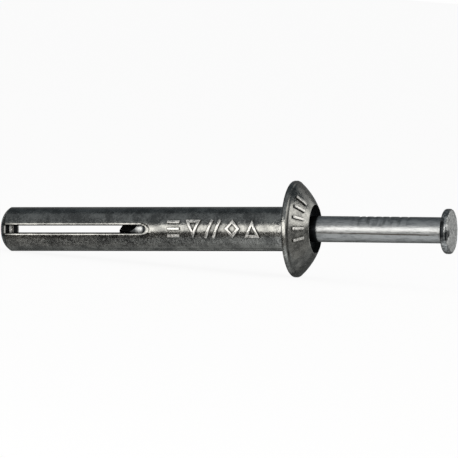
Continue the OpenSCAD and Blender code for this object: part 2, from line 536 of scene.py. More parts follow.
class FIXING_OT_sleeve(Operator):
    """Casts the expansion sleeve with its domed head, bores and slot"""

    bl_idname = "fixing.sleeve"
    bl_label = "Expansion sleeve"

    def execute(self, context):
        s = context.scene.fixing_sleeve
        sleeve = turned("sleeve_casting", sleeve_line(s), s.segments)
        raise_parting_line(sleeve, s)
        combine(sleeve, joined([shank_marks(context), dome_marks(context)]), "UNION")
        combine(sleeve, slot_cutter(s), "DIFFERENCE")
        finish_piece(sleeve, cast_zinc_material(context))
        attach(sleeve, "root")
        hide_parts("expansion_sleeve")
        return {"FINISHED"}


# Plain raised marks

# Rounding of the marks' top edges, as a share of their stroke
TOP_ROUND = 0.22
# Bars on the dome: how deep they root, their length as a share of a figure's height, and their turns
# above the dome's front in degrees
DOME_MARK_ROOT = 0.4 * MM
DOME_MARK_LENGTH = 0.75
DOME_MARK_TURNS = (-14, 2, 18, 34, 50)


def bar(start, end, stroke):
    """A straight stroke as the four corners of a rectangle."""
    a, b = Vector(start), Vector(end)
    side = Vector((a.y - b.y, b.x - a.x)).normalized() * stroke / 2
    return [a + side, a - side, b - side, b + side]


def relief(name, corners, stroke, outline, root, height):
    """A flat figure raised along Z from its root, with rounded top edges, as a face or an outline."""
    piece = new_object(name, [(x, w, -root) for x, w in corners], faces=[range(len(corners))])
    with editing(piece):
        bpy.ops.mesh.select_mode(type="FACE")
        bpy.ops.mesh.select_all(action="SELECT")
        if outline:
            bpy.ops.mesh.inset(thickness=stroke)
            bpy.ops.mesh.delete(type="FACE")
            bpy.ops.mesh.select_all(action="SELECT")
        bpy.ops.mesh.extrude_region_move(TRANSFORM_OT_translate={"value": (0, 0, root + height)})
        bpy.ops.mesh.select_mode(type="EDGE")
        bpy.ops.mesh.region_to_loop()
        bpy.ops.mesh.bevel(offset=stroke * TOP_ROUND, segments=4, profile=0.5, clamp_overlap=True)
        bpy.ops.mesh.select_all(action="SELECT")
        bpy.ops.mesh.normals_make_consistent(inside=False)
        bpy.ops.mesh.select_mode(type="VERT")
    return piece


def figures(m):
    """The plain figures on the shank, nearest the head first: corners, and whether it is an outline."""
    h, w = m.figure / 2, m.figure / 2.2
    lean = w * 0.45
    upright = [(-w, -h), (w, -h), (0, h)]
    lozenge = [(-w, 0), (0, -h), (w, 0), (0, h)]
    hanging = [(-w, h), (0, -h), (w, h)]
    slanted = [bar((x - lean, -h), (x + lean, h), m.stroke) for x in (-w * 0.5, w * 0.5)]
    level = [bar((-w * 0.8, y), (w * 0.8, y), m.stroke) for y in (-h * 0.75, 0, h * 0.75)]
    return [
        [(upright, True)],
        [(lozenge, True)],
        [(corners, False) for corners in slanted],
        [(hanging, True)],
        [(corners, False) for corners in level],
    ]


def shank_marks(context):
    """Five plain figures that stand a little out of the front of the shank."""
    s, m = context.scene.fixing_sleeve, context.scene.fixing_marks
    root = (s.shank_radius - s.bore_radius) / 2
    parts = []
    for i, figure in enumerate(figures(m)):
        centre = -m.first - i * m.pitch
        for corners, outline in figure:
            placed = [(centre + x, w + m.rise) for x, w in corners]
            parts.append(relief("shank_mark", placed, m.stroke, outline, root, m.height))
    marks = joined(parts)
    half, cuts = m.figure / 2, 14
    with editing(marks):
        for k in range(1, cuts):
            level = m.rise + half * (2 * k / cuts - 1)
            bpy.ops.mesh.select_all(action="SELECT")
            bpy.ops.mesh.bisect(plane_co=(0, level, 0), plane_no=(0, 1, 0), threshold=WELD)
    for v in marks.data.vertices:
        radius = s.shank_radius + v.co.z
        turn = v.co.y / s.shank_radius
        v.co = (v.co.x, -radius * math.cos(turn), radius * math.sin(turn))
    return marks


def dome_marks(context):
    """Short radial bars that stand a little out of the front of the dome."""
    s, m = context.scene.fixing_sleeve, context.scene.fixing_marks
    dome = dome_line(s)
    middle = Vector(dome[len(dome) // 2])
    along = (Vector(dome[-DOME_STEPS // 3]) - Vector(dome[DOME_STEPS // 3])).normalized()
    slope = math.atan2(along.y, along.x)
    length = m.figure * DOME_MARK_LENGTH
    corners = bar((-length / 2, 0), (length / 2, 0), m.stroke)
    parts = []
    for degrees in DOME_MARK_TURNS:
        tick = relief("dome_mark", corners, m.stroke, False, DOME_MARK_ROOT, m.height)
        tick.matrix_world = (
            Matrix.Rotation(math.radians(90 - degrees), 4, "X")
            @ Matrix.Translation((middle.x, 0, middle.y))
            @ Matrix.Rotation(-slope, 4, "Y"))
        settle(tick)
        parts.append(tick)
    return joined(parts)


# Drive nail

NAIL_NECK_FILLET = 0.25 * MM
# Hollows of the forming grips: radius, and places in millimetres from the nail head with the turns
# in degrees towards the front at each of them
GRIP_RADIUS = 0.45 * MM
GRIPS = (
    ((4.81, 6.01, 7.21, 8.36, 9.36), (0, 24, 46, 64)),
    ((10.36, 11.31), (0, 22, 44)),
)
# How uneven the hollows are: the least share of their depth, how far they stray along the nail in
# millimetres, and how far they roll round it and slant along it in degrees
GRIP_LEAST_DEPTH = 0.6
GRIP_STRAY = 0.08
GRIP_ROLL = 5
GRIP_SLANT = 8
# How far the nail head's rim is worn in and at what scale, and the same for the waves in its face
RIM_WEAR = 0.045 * MM
RIM_WEAR_SCALE = 1.7
FACE_WAVES = ((0.03 * MM, 0.9), (0.016 * MM, 3.1))
# What stays even round the nail's neck: its reach past the nail's shank, and its end before the face
EVEN_NECK = 0.3 * MM
EVEN_NECK_END = 0.1 * MM
# Length of the neck over which the nail head tilts and drops
NECK_BEND = 0.3 * MM
# The dent: turn above the front in degrees, distances from the rim and the face, width and depth
DENT_TURN = -18
DENT_FROM_RIM = 0.6 * MM
DENT_FROM_FACE = 0.14 * MM
DENT_WIDTH = 0.6 * MM
DENT_DEPTH = 0.26 * MM
# The dent is struck aslant: this share of its depth goes inwards, and as much towards the sleeve
DENT_SLANT = 0.7


def nail_line(n):
    """Section of the nail from its tip to its struck face."""
    seat, neck = n.face - n.head_height, n.radius + NAIL_NECK_FILLET
    line = [(n.tip, 0)] + divided((n.tip, 0), (n.tip, n.radius), 3) + [(n.tip, n.radius)]
    line += divided((n.tip, n.radius), (seat - NAIL_NECK_FILLET, n.radius), 120)
    line += arc((seat - NAIL_NECK_FILLET, neck), NAIL_NECK_FILLET, -math.pi / 2, 0, 6)
    under, struck = n.head_under_round, n.head_round
    line += divided((seat, neck), (seat, n.head_radius - under), 3)
    line += arc((seat + under, n.head_radius - under), under, math.pi, math.pi / 2, 8)
    line += arc((n.face - struck, n.head_radius - struck), struck, math.pi / 2, 0, 8)
    return line + divided((n.face, n.head_radius - struck), (n.face, 0), 18) + [(n.face, 0)]


def cut_away(piece, point, outward):
    """Cuts a piece flat through a point and takes away what lies outward of the cut."""
    with editing(piece):
        bpy.ops.mesh.bisect(
            plane_co=point, plane_no=outward, use_fill=True, clear_outer=True, threshold=WELD)


def shape_point(nail, n):
    """Pinches the nail's point: four facets and a slanted blunt end."""
    half = math.atan((n.radius - n.point_flat / 2) / n.point_length)
    for i in range(4):
        turn = n.point_turn + i * math.pi / 2
        side = Vector((0, math.sin(turn), -math.cos(turn)))
        start = Vector((n.tip, 0, 0)) + side * n.point_flat / 2
        cut_away(nail, start, side * math.cos(half) - Vector((math.sin(half), 0, 0)))
    start = Vector((n.tip, 0, -n.point_flat / 2))
    cut_away(nail, start, Vector((-math.cos(n.point_slant), 0, math.sin(n.point_slant))))


def press_grip_marks(nail, n):
    """Presses the hollows of the forming grips into the upper side of the nail, some round its front."""
    rng = random.Random(7)
    seat = n.face - n.head_height
    hollows = [(distance, turn) for places, turns in GRIPS for distance in places for turn in turns]
    for distance, turn in hollows:
        depth = n.grip_depth * rng.uniform(GRIP_LEAST_DEPTH, 1.0) * (1 - turn / 100)
        reach = n.radius + GRIP_RADIUS - depth
        bpy.ops.mesh.primitive_cylinder_add(vertices=40, radius=GRIP_RADIUS, depth=2 * n.radius)
        roller = bpy.context.active_object
        roller.matrix_world = (
            Matrix.Translation((seat - distance * MM + rng.uniform(-GRIP_STRAY, GRIP_STRAY) * MM, 0, 0))
            @ Matrix.Rotation(math.radians(turn), 4, "X")
            @ Matrix.Translation((0, 0, reach))
            @ Matrix.Rotation(math.radians(90 + rng.uniform(-GRIP_ROLL, GRIP_ROLL)), 4, "X")
            @ Matrix.Rotation(math.radians(rng.uniform(-GRIP_SLANT, GRIP_SLANT)), 4, "Y"))
        settle(roller)
        combine(nail, roller, "DIFFERENCE")


def hammer_head(nail, n):
    """Makes the nail head a little uneven, its rim and its face, and dents it."""
    seat = n.face - n.head_height
    for v in nail.data.vertices:
        radius = math.hypot(v.co.y, v.co.z)
        in_neck = radius < n.radius + EVEN_NECK and v.co.x < n.face - EVEN_NECK_END
        if v.co.x < seat or in_neck:
            continue
        side = Vector((0, v.co.y, v.co.z)) / MM
        rim = max(0, (radius - n.radius) / (n.head_radius - n.radius))
        inward = rim * RIM_WEAR * (0.5 + noise.noise(side.normalized() * RIM_WEAR_SCALE))
        v.co.y *= 1 - inward / max(radius, WELD)
        v.co.z *= 1 - inward / max(radius, WELD)
        if v.co.x > n.face - n.head_round:
            v.co.x -= sum(depth * (0.5 + noise.noise(side * scale)) for depth, scale in FACE_WAVES)
    dent_head(nail, n)


def dent_head(nail, n):
    """Strikes one dent into the front of the nail head, on its struck edge."""
    turn = math.radians(DENT_TURN)
    outward = Vector((0, -math.cos(turn), math.sin(turn)))
    middle = outward * (n.head_radius - DENT_FROM_RIM) + Vector((n.face - DENT_FROM_FACE, 0, 0))
    push = (outward * DENT_SLANT + Vector((DENT_SLANT, 0, 0))) * DENT_DEPTH
    for v in nail.data.vertices:
        v.co -= push * math.exp(-((v.co - middle).length / DENT_WIDTH) ** 2)


def lean_nail(nail, n):
    """Leans the nail down where it stands free, tilts its head and drops it off the centre."""
    neck = n.face - n.head_height - NECK_BEND
    for v in nail.data.vertices:
        drop = max(0, v.co.x - n.lean_start) * math.tan(n.lean)
        if v.co.x > neck:
            share = min(1, (v.co.x - neck) / NECK_BEND)
            v.co.x += v.co.z * math.tan(n.head_tilt) * share
            drop += n.head_drop * share
        v.co.z -= drop
        v.co.x -= drop * math.tan(REST_TILT)


class FIXING_OT_nail(Operator):
    """Forges the drive nail with its head, point and grip marks"""

    bl_idname = "fixing.nail"
    bl_label = "Drive nail"

    def execute(self, context):
        n = context.scene.fixing_nail
        nail = turned("nail", nail_line(n), n.segments)
        shape_point(nail, n)
        press_grip_marks(nail, n)
        hammer_head(nail, n)
        lean_nail(nail, n)
        finish_piece(nail, plated_steel_material(context))
        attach(nail, "root")
        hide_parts("drive_nail")
        return {"FINISHED"}


# Materials

NUMBER = "NodeSocketFloat"
DIRECTION = "NodeSocketVector"
# Where a point lies on the fixing, as value sockets. They and the limits of the masks are in
# millimetres and degrees
Place = namedtuple("Place", "along radius turn upward")


def add_node(tree, kind, **values):
    """Adds a node and sets its properties."""
    node = tree.nodes.new(kind)
    for key, value in values.items():
        setattr(node, key, value)
    return node


def set_inputs(node, **values):
    """Sets a node's inputs by name, with underscores for spaces."""
    for key, value in values.items():
        node.inputs[key.replace("_", " ")].default_value = value


def group_tree(name, numbers, outputs):
    """A shader node group with a vector and some numbers going in, and its two end nodes."""
    tree = bpy.data.node_groups.new(name, "ShaderNodeTree")
    tree.interface.new_socket(name="Vector", in_out="INPUT", socket_type=DIRECTION)
    for label, default in numbers.items():
        socket = tree.interface.new_socket(name=label, in_out="INPUT", socket_type=NUMBER)
        socket.default_value = default
    for label, kind in outputs.items():
        tree.interface.new_socket(name=label, in_out="OUTPUT", socket_type=kind)
    return tree, tree.nodes.new("NodeGroupInput"), tree.nodes.new("NodeGroupOutput")


def noise_value(tree, given, scale, detail, roughness):
    """A noise in a group, which takes its scale from the group's input of that name."""
    node = add_node(tree, "ShaderNodeTexNoise")
    set_inputs(node, Detail=detail, Roughness=roughness)
    tree.links.new(given.outputs["Vector"], node.inputs["Vector"])
    tree.links.new(given.outputs[scale], node.inputs["Scale"])
    return node.outputs["Fac"]


def grain_group(name):
    """Grain of a metal surface: broad patches, fine grain and their height."""
    tree, given, made = group_tree(
        name,
        {"Patch scale": 0.7, "Grain scale": 7.0, "Grain share": 0.5},
        {"Patches": NUMBER, "Grain": NUMBER, "Height": NUMBER})
    patches = noise_value(tree, given, "Patch scale", 3.0, 0.6)
    grain = noise_value(tree, given, "Grain scale", 4.0, 0.65)
    height = mixed_value(tree, given.outputs["Grain share"], patches, grain)
    for label, value in (("Patches", patches), ("Grain", grain), ("Height", height)):
        tree.links.new(value, made.inputs[label])
    return tree


def edge_group(name):
    """Rubbed edges: a mask of sharp edges that a noise breaks up, and their softened normal."""
    tree, given, made = group_tree(
        name, {"Radius": 0.1 * MM, "Patch scale": 2.0}, {"Mask": NUMBER, "Normal": DIRECTION})
    bevel = add_node(tree, "ShaderNodeBevel", samples=6)
    tree.links.new(given.outputs["Radius"], bevel.inputs["Radius"])
    plain = add_node(tree, "ShaderNodeNewGeometry")
    dot = add_node(tree, "ShaderNodeVectorMath", operation="DOT_PRODUCT")
    tree.links.new(bevel.outputs["Normal"], dot.inputs[0])
    tree.links.new(plain.outputs["Normal"], dot.inputs[1])
    sharp = ranged(tree, dot.outputs["Value"], 0, 1, 0.985, 0.9)
    broken = ranged(tree, noise_value(tree, given, "Patch scale", 3.0, 0.6), 0.1, 1, 0.4, 0.6)
    tree.links.new(product(tree, sharp, broken), made.inputs["Mask"])
    tree.links.new(bevel.outputs["Normal"], made.inputs["Normal"])
    return tree


def corner_shade_group(name):
    """Painted shade in corners: a mask of the foot of each raised shape, taken from occlusion, which a
    noise breaks up a little.
    """
    tree, given, made = group_tree(name, {"Distance": 0.25 * MM, "Patch scale": 2.0}, {"Mask": NUMBER})
    hollow = add_node(tree, "ShaderNodeAmbientOcclusion", samples=8, only_local=True)
    tree.links.new(given.outputs["Distance"], hollow.inputs["Distance"])
    corner = ranged(tree, hollow.outputs["AO"], 1, 0, 0.7, 0.94)
    broken = ranged(tree, noise_value(tree, given, "Patch scale", 2.0, 0.5), 0.6, 1, 0.4, 0.55)
    tree.links.new(product(tree, corner, broken), made.inputs["Mask"])
    return tree


GROUPS = {"Metal grain": grain_group, "Edge wear": edge_group, "Corner dirt": corner_shade_group}


def placed_group(tree, name, vector, **values):
    """Places a node group with values of its own, and builds the group where it isn't there yet."""
    group = bpy.data.node_groups.get(name) or GROUPS[name](name)
    node = add_node(tree, "ShaderNodeGroup", node_tree=group)
    set_inputs(node, **values)
    tree.links.new(vector, node.inputs["Vector"])
    return node


def chained(tree, operation, values):
    """Several value sockets brought to one by the same math operation."""
    result = values[0]
    for value in values[1:]:
        step = add_node(tree, "ShaderNodeMath", operation=operation)
        tree.links.new(result, step.inputs[0])
        tree.links.new(value, step.inputs[1])
        result = step.outputs["Value"]
    return result


def product(tree, *values):
    """The product of several value sockets."""
    return chained(tree, "MULTIPLY", values)


def greatest(tree, *values):
    """The greatest of several value sockets."""
    return chained(tree, "MAXIMUM", values)


def band(tree, value, start, end, soft):
    """A mask that is one where a value lies between two limits, with soft edges."""
    return product(
        tree,
        ranged(tree, value, 0, 1, start - soft, start + soft),
        ranged(tree, value, 1, 0, end - soft, end + soft))


def shifted(tree, value, amount):
    """A value socket with a fixed amount added."""
    step = add_node(tree, "ShaderNodeMath", operation="ADD")
    step.inputs[1].default_value = amount
    tree.links.new(value, step.inputs[0])
    return step.outputs["Value"]


def length_of(tree, first, second):
    """The length of a flat vector of two value sockets."""
    joint = add_node(tree, "ShaderNodeCombineXYZ")
    tree.links.new(first, joint.inputs["X"])
    tree.links.new(second, joint.inputs["Y"])
    step = add_node(tree, "ShaderNodeVectorMath", operation="LENGTH")
    tree.links.new(joint.outputs["Vector"], step.inputs[0])
    return step.outputs["Value"]


def cylindrical(tree, vector):
    """Place along the axis, radius, turn above the front in degrees, and the way up from the axis."""
    parts = add_node(tree, "ShaderNodeSeparateXYZ")
    tree.links.new(vector, parts.inputs["Vector"])
    front = add_node(tree, "ShaderNodeMath", operation="MULTIPLY")
    front.inputs[1].default_value = -1
    tree.links.new(parts.outputs["Y"], front.inputs[0])
    angle = chained(tree, "ARCTAN2", (parts.outputs["Z"], front.outputs["Value"]))
    degrees = add_node(tree, "ShaderNodeMath", operation="DEGREES")
    tree.links.new(angle, degrees.inputs[0])
    radius = length_of(tree, parts.outputs["Y"], parts.outputs["Z"])
    return Place(parts.outputs["X"], radius, degrees.outputs["Value"], parts.outputs["Z"])


def new_material(name):
    """A material with its shader and the fixing's own coordinates, in millimetres along its axis."""
    material = bpy.data.materials.new(name)
    material.use_nodes = True
    tree = material.node_tree
    place = add_node(tree, "ShaderNodeTexCoord")
    mapping = add_node(tree, "ShaderNodeMapping")
    mapping.inputs["Rotation"].default_value = (0, REST_TILT, 0)
    mapping.inputs["Scale"].default_value = (1 / MM, 1 / MM, 1 / MM)
    tree.links.new(place.outputs["Object"], mapping.inputs["Vector"])
    return material, tree, tree.nodes["Principled BSDF"], mapping.outputs["Vector"]


def mixed_value(tree, factor, first, second):
    """A mix of two value sockets by a factor socket."""
    mix = add_node(tree, "ShaderNodeMix", data_type="FLOAT")
    for value, label in ((factor, "Factor"), (first, "A"), (second, "B")):
        tree.links.new(value, mix.inputs[label])
    return mix.outputs["Result"]


def mixed_colour(tree, factor, first, second):
    """A mix of two colours by a factor socket, each a socket or a plain colour."""
    mix = add_node(tree, "ShaderNodeMix", data_type="RGBA")
    tree.links.new(factor, mix.inputs["Factor"])
    for socket, value in ((mix.inputs[6], first), (mix.inputs[7], second)):
        if hasattr(value, "links"):
            tree.links.new(value, socket)
        else:
            socket.default_value = (*value, 1)
    return mix.outputs[2]


def layered(tree, colour, *layers):
    """A colour with others laid over it in turn, each by a mask."""
    for mask, layer in layers:
        colour = mixed_colour(tree, mask, colour, layer)
    return colour


def ranged(tree, value, low, high, from_low=0.3, from_high=0.7):
    """A value socket brought to a range."""
    node = add_node(tree, "ShaderNodeMapRange")
    set_inputs(node, From_Min=from_low, From_Max=from_high, To_Min=low, To_Max=high)
    tree.links.new(value, node.inputs["Value"])
    return node.outputs["Result"]


def add_bump(tree, shader, height, strength, distance, normal=None):
    """Roughens a shader's surface by a height, over a softened normal where one is given."""
    bump = add_node(tree, "ShaderNodeBump")
    set_inputs(bump, Strength=strength, Distance=distance)
    tree.links.new(height, bump.inputs["Height"])
    if normal:
        tree.links.new(normal, bump.inputs["Normal"])
    tree.links.new(bump.outputs["Normal"], shader.inputs["Normal"])


def lip_masks(tree, s, at, grain):
    """Masks round the slot's mouth: its lips, rubbed and partly a painted highlight, and painted shade at
    their foot and near the nose.
    """
    start, wall = -s.slot_from_head / MM, (s.nose_wall - s.shank_length) / MM
    mouth, shank = slot_mouth(s) / MM, s.shank_radius / MM
    end_length = 1 + s.end_stretch + s.lip_stretch
    ahead = ranged(tree, shifted(tree, at.along, -start), 0, 5, 0, 5 * end_length)
    from_slot = length_of(tree, ahead, at.upward)
    outside = ranged(tree, at.radius, 0, 1, shank - 0.35, shank - 0.2)
    # The lips: rubbed zinc, and partly a painted highlight along the slot's edges
    lips = product(
        tree,
        band(tree, from_slot, mouth, mouth + 0.2, 0.03),
        outside,
        ranged(tree, at.along, 0, 1, wall, wall + 1.5),
        ranged(tree, grain.outputs["Grain"], 0, 0.24, 0.4, 0.65))
    # Painted shade round the foot of the lips at the slot's round end
    foot = product(
        tree,
        band(tree, from_slot, mouth + 0.22, mouth + 0.3, 0.03),
        outside,
        band(tree, at.along, start, start + 0.9 + mouth, 0.3))
    # Painted shade round the slot's mouth near its closed end
    at_nose = product(
        tree,
        band(tree, from_slot, mouth - 0.05, mouth + 0.3, 0.04),
        ranged(tree, at.along, 0.85, 0, wall + 0.2, wall + 1.6))
    return lips, foot, at_nose


def rubbed_masks(tree, s, at, grain):
    """Masks of what is rubbed on the shank: the parting line and the neck under the head."""
    line, shank = -math.degrees(s.parting_angle), s.shank_radius / MM
    wall = (s.nose_wall - s.shank_length) / MM
    parting = product(
        tree,
        band(tree, at.turn, line - 1.2, line + 1.2, 0.3),
        band(tree, at.along, wall + 1.9, -1, 1.5),
        ranged(tree, grain.outputs["Patches"], 0, 0.3, 0.42, 0.6))
    neck = product(
        tree,
        band(tree, at.along, -1.5, -0.1, 0.35),
        ranged(tree, at.radius, 1, 0, shank + 0.15, shank + 0.3),
        ranged(tree, grain.outputs["Grain"], 0, 0.5, 0.42, 0.62))
    return parting, neck


def inside_masks(tree, s, at):
    """Masks of the painted shade on the insides, and of the two painted glints at the closed end of the
    slot.
    """
    wall, recess, pilot = (s.nose_wall - s.shank_length) / MM, s.recess_radius / MM, s.pilot_radius / MM
    above_bores = 1.0
    bores = product(
        tree,
        band(tree, at.along, wall - 0.1, above_bores, 0.02),
        ranged(tree, at.radius, 1, 0, 2.0, 2.7))
    in_recess = product(
        tree,
        ranged(tree, at.along, 0, 1, above_bores, above_bores + 0.1),
        ranged(tree, at.radius, 1, 0, recess + 0.01, recess + 0.05))
    closed_end = product(
        tree,
        band(tree, at.along, wall - 0.03, wall + 0.03, 0.02),
        ranged(tree, at.radius, 1, 0, 2.45, 2.55))
    # Painted glints: one on the front edge of the slot's closed end, one in the dimple
    end_lip = product(
        tree,
        band(tree, at.along, wall - 0.12, wall + 0.03, 0.02),
        band(tree, at.radius, 2.5, 2.9, 0.05),
        band(tree, at.upward, -0.5, 0.5, 0.05))
    dimple = product(
        tree,
        band(tree, at.along, wall - 0.45, wall - 0.05, 0.02),
        ranged(tree, at.radius, 1, 0, pilot - 0.05, pilot + 0.05))
    return greatest(tree, bores, in_recess, closed_end), greatest(tree, end_lip, dimple)


def raised_mask(tree, s, at):
    """Mask of what stands out of the dome and of the front of the shank."""
    centre, dome, shank = dome_centre(s) / MM, s.dome_radius / MM, s.shank_radius / MM
    from_centre = length_of(
        tree, shifted(tree, at.along, -centre.x), shifted(tree, at.radius, -centre.y))
    on_dome = product(
        tree,
        ranged(tree, at.along, 0, 1, 0.9, 1.1),
        ranged(tree, from_centre, 0, 1, dome + 0.1, dome + 0.22))
    on_shank = product(
        tree,
        band(tree, at.along, 0.5 - s.slot_from_head / MM, -1.0, 0.1),
        ranged(tree, at.radius, 0, 1, shank + 0.1, shank + 0.22))
    return greatest(tree, on_dome, on_shank)


def groove_shade_mask(tree, s, at, grain):
    """Mask of painted shade in the groove at the foot of the dome, thinner away from the front."""
    groove, head = (s.band_height + GROOVE_ABOVE_BAND) / MM, s.head_radius / MM
    return product(
        tree,
        band(tree, at.along, groove - 0.13, groove + 0.13, 0.05),
        ranged(tree, at.radius, 0, 1, head - 1.3, head - 1.1),
        ranged(tree, band(tree, at.turn, -45, 30, 15), 0.25, 1, 0, 1),
        ranged(tree, grain.outputs["Patches"], 0.4, 1, 0.4, 0.55))


def cast_zinc_material(context):
    """Dull grey cast zinc: mottled patches, grain, rubbed edges and lips with a painted highlight, painted
    shade and painted glints.
    """
    colours, s = context.scene.fixing_colours, context.scene.fixing_sleeve
    material, tree, shader, vector = new_material("cast_zinc")
    at = cylindrical(tree, vector)
    grain = placed_group(
        tree, "Metal grain", vector, Patch_scale=0.6, Grain_scale=4.5, Grain_share=0.4)
    wear = placed_group(tree, "Edge wear", vector, Radius=0.12 * MM, Patch_scale=1.8)
    # Painted shade at the foot of each raised mark, from occlusion
    corners = placed_group(tree, "Corner dirt", vector, Distance=0.36 * MM, Patch_scale=1.5)

    lips, lip_foot_shade, nose_shade = lip_masks(tree, s, at, grain)
    inner_shade, painted_glints = inside_masks(tree, s, at)
    tops = product(
        tree,
        raised_mask(tree, s, at),
        ranged(tree, grain.outputs["Grain"], 0.3, 0.95, 0.38, 0.58))
    # The lips in this mask are partly a painted highlight
    rubbed = greatest(tree, wear.outputs["Mask"], lips, *rubbed_masks(tree, s, at, grain), tops)
    # Painted shade in corners, in the dome's groove, round the foot of the lips and near the slot's closed
    # end
    painted_shade = greatest(tree, corners.outputs["Mask"], groove_shade_mask(tree, s, at, grain), lip_foot_shade, nose_shade)

    patched = mixed_colour(
        tree, ranged(tree, grain.outputs["Height"], 0, 1, 0.42, 0.58),
        colours.casting_dark, colours.casting)
    # Over the casting's colour: the inside colour is painted shade, and the painted glints take the worn
    # colour
    finished = layered(
        tree, patched, (rubbed, colours.casting_worn), (painted_shade, colours.painted_shade),
        (inner_shade, colours.inside), (painted_glints, colours.casting_worn))
    tree.links.new(finished, shader.inputs["Base Color"])
    # The painted glints and the lips' painted highlight are also made less metallic
    powdery = greatest(tree, tops, lips, painted_glints)
    tree.links.new(ranged(tree, powdery, 1, 0.4, 0, 1), shader.inputs["Metallic"])
    polish = ranged(tree, grain.outputs["Grain"], 0.13, 0.31, 0.35, 0.65)
    rough = greatest(tree, polish, ranged(tree, inner_shade, 0, 0.8, 0, 1))
    tree.links.new(rough, shader.inputs["Roughness"])
    add_bump(tree, shader, grain.outputs["Height"], 0.8, 0.04 * MM)
    return material


def reflection_line_mask(tree, at, seat, streaks):
    """Mask of a broken line of painted dark reflection along the nail, a little slanted."""
    slanted = add_node(tree, "ShaderNodeMath", operation="MULTIPLY_ADD")
    slanted.inputs[1].default_value = 0.65
    tree.links.new(at.along, slanted.inputs[0])
    tree.links.new(at.turn, slanted.inputs[2])
    return product(
        tree,
        band(tree, slanted.outputs["Value"], -15.5, -10.9, 1.0),
        band(tree, at.along, 3, seat - 1.2, 0.8),
        ranged(tree, at.along, 0.35, 1, 4, 11),
        ranged(tree, streaks.outputs["Patches"], 0, 1, 0.3, 0.4))


def grip_mask(tree, at, seat, vector, spots):
    """Mask of the dark stripes round the marks of the forming grips."""
    ripples = add_node(tree, "ShaderNodeTexWave", wave_type="BANDS", bands_direction="X")
    set_inputs(ripples, Scale=0.29, Distortion=2.6, Detail=2.0, Detail_Scale=1.6)
    tree.links.new(vector, ripples.inputs["Vector"])
    return product(
        tree,
        band(tree, at.along, seat - 12, seat - 4.3, 0.4),
        band(tree, at.turn, 16, 78, 12),
        ranged(tree, ripples.outputs["Fac"], 0, 0.7, 0.5, 0.9),
        ranged(tree, spots.outputs["Patches"], 0.3, 1, 0.42, 0.56))


def nail_shade_mask(tree, s, n, at, seat):
    """Mask of painted shade on the nail: in the bore, on its point, in its dent and under its head."""
    edge, slot_start = (n.face - DENT_FROM_FACE) / MM, -s.slot_from_head / MM
    dent = product(
        tree,
        band(tree, at.turn, DENT_TURN - 14, DENT_TURN + 14, 3),
        band(tree, at.radius, 1.5, 3.0, 0.1),
        ranged(tree, at.along, 0, 1, edge - 0.42, edge - 0.3))
    under_head = product(
        tree,
        band(tree, at.along, seat - 0.1, seat + 0.6, 0.1),
        ranged(tree, at.radius, 0, 1, 1.9, 2.1),
        band(tree, at.turn, -28, 28, 10))
    in_bore = band(tree, at.along, slot_start - 0.05, n.lean_start / MM - 0.05, 0.1)
    on_point = ranged(tree, at.along, 0.9, 0, slot_start - 1.1, slot_start - 0.5)
    return greatest(tree, in_bore, on_point, dent, under_head)


def plated_steel_material(context):
    """Bright zinc plating with lengthwise streaks, a painted dark reflection line, painted shade and a
    rough struck face.
    """
    colours, s, n = context.scene.fixing_colours, context.scene.fixing_sleeve, context.scene.fixing_nail
    material, tree, shader, vector = new_material("plated_steel")
    at = cylindrical(tree, vector)
    stretch = add_node(tree, "ShaderNodeMapping")
    stretch.inputs["Scale"].default_value = (0.35, 1, 1)
    tree.links.new(vector, stretch.inputs["Vector"])
    streaks = placed_group(
        tree, "Metal grain", stretch.outputs["Vector"],
        Patch_scale=1.1, Grain_scale=4.5, Grain_share=0.55)
    spots = placed_group(
        tree, "Metal grain", vector, Patch_scale=1.3, Grain_scale=3.3, Grain_share=0.65)
    wear = placed_group(tree, "Edge wear", vector, Radius=0.06 * MM, Patch_scale=1.5)

    seat = (n.face - n.head_height) / MM
    head = ranged(tree, at.along, 0, 1, seat - 0.05, seat + 0.1)
    surface = mixed_value(tree, head, streaks.outputs["Height"], spots.outputs["Height"])
    pits = product(tree, head, ranged(tree, spots.outputs["Grain"], 1, 0, 0.42, 0.53))
    dark = greatest(tree, grip_mask(tree, at, seat, vector, spots), pits)

    plain = mixed_colour(
        tree, ranged(tree, surface, 0, 1, 0.38, 0.54), colours.plating_dull, colours.plating)
    finished = layered(
        tree, plain, (dark, colours.plating_dark),
        # A painted dark reflection line along the nail
        (reflection_line_mask(tree, at, seat, streaks), colours.dark_reflection_line),
        # Painted shade on the nail, in the inside colour
        (nail_shade_mask(tree, s, n, at, seat), colours.inside))
    tree.links.new(finished, shader.inputs["Base Color"])
    rough = mixed_value(
        tree, head,
        ranged(tree, streaks.outputs["Grain"], 0.31, 0.46),
        ranged(tree, spots.outputs["Grain"], 0.26, 0.42))
    tree.links.new(rough, shader.inputs["Roughness"])
    relief_height = product(tree, surface, ranged(tree, head, 0.8, 3.2, 0, 1))
    add_bump(tree, shader, relief_height, 0.7, 0.035 * MM, wear.outputs["Normal"])
    shader.inputs["Metallic"].default_value = 1.0
    return material


# Studio

WORLD_STRENGTH = 0.6
# Share of plain white in the floor, the rest of which takes the lamps' light
FLOOR_WHITE = 0.9
FLOOR_HALF = 6.0
LAMP_COLOUR = (1.0, 0.985, 0.94)
# Each softbox: its place, its width and height, and the setting that holds its power
SOFTBOXES = (
    ("front_softbox", (-0.05, -0.45, 0.03), (0.8, 0.27), "softbox_power"),
    ("side_softbox", (0.5, 0.08, 0.21), (0.5, 0.4), "side_power"),
)
# Width of the camera's sensor, in millimetres
SENSOR_WIDTH = 36
# Radius of the arch of curved cards, degrees to a face of it, and half the width of the side cards
ARCH_RADIUS = 0.25
ARCH_STEP = 5
SIDE_CARD_HALF = 0.45


def fixing_place(along, front, up):
    """A place given along the fixing's axis, towards its front and upwards from its axis."""
    return AXIS * along - Vector((0, front, 0)) + UPWARD * up


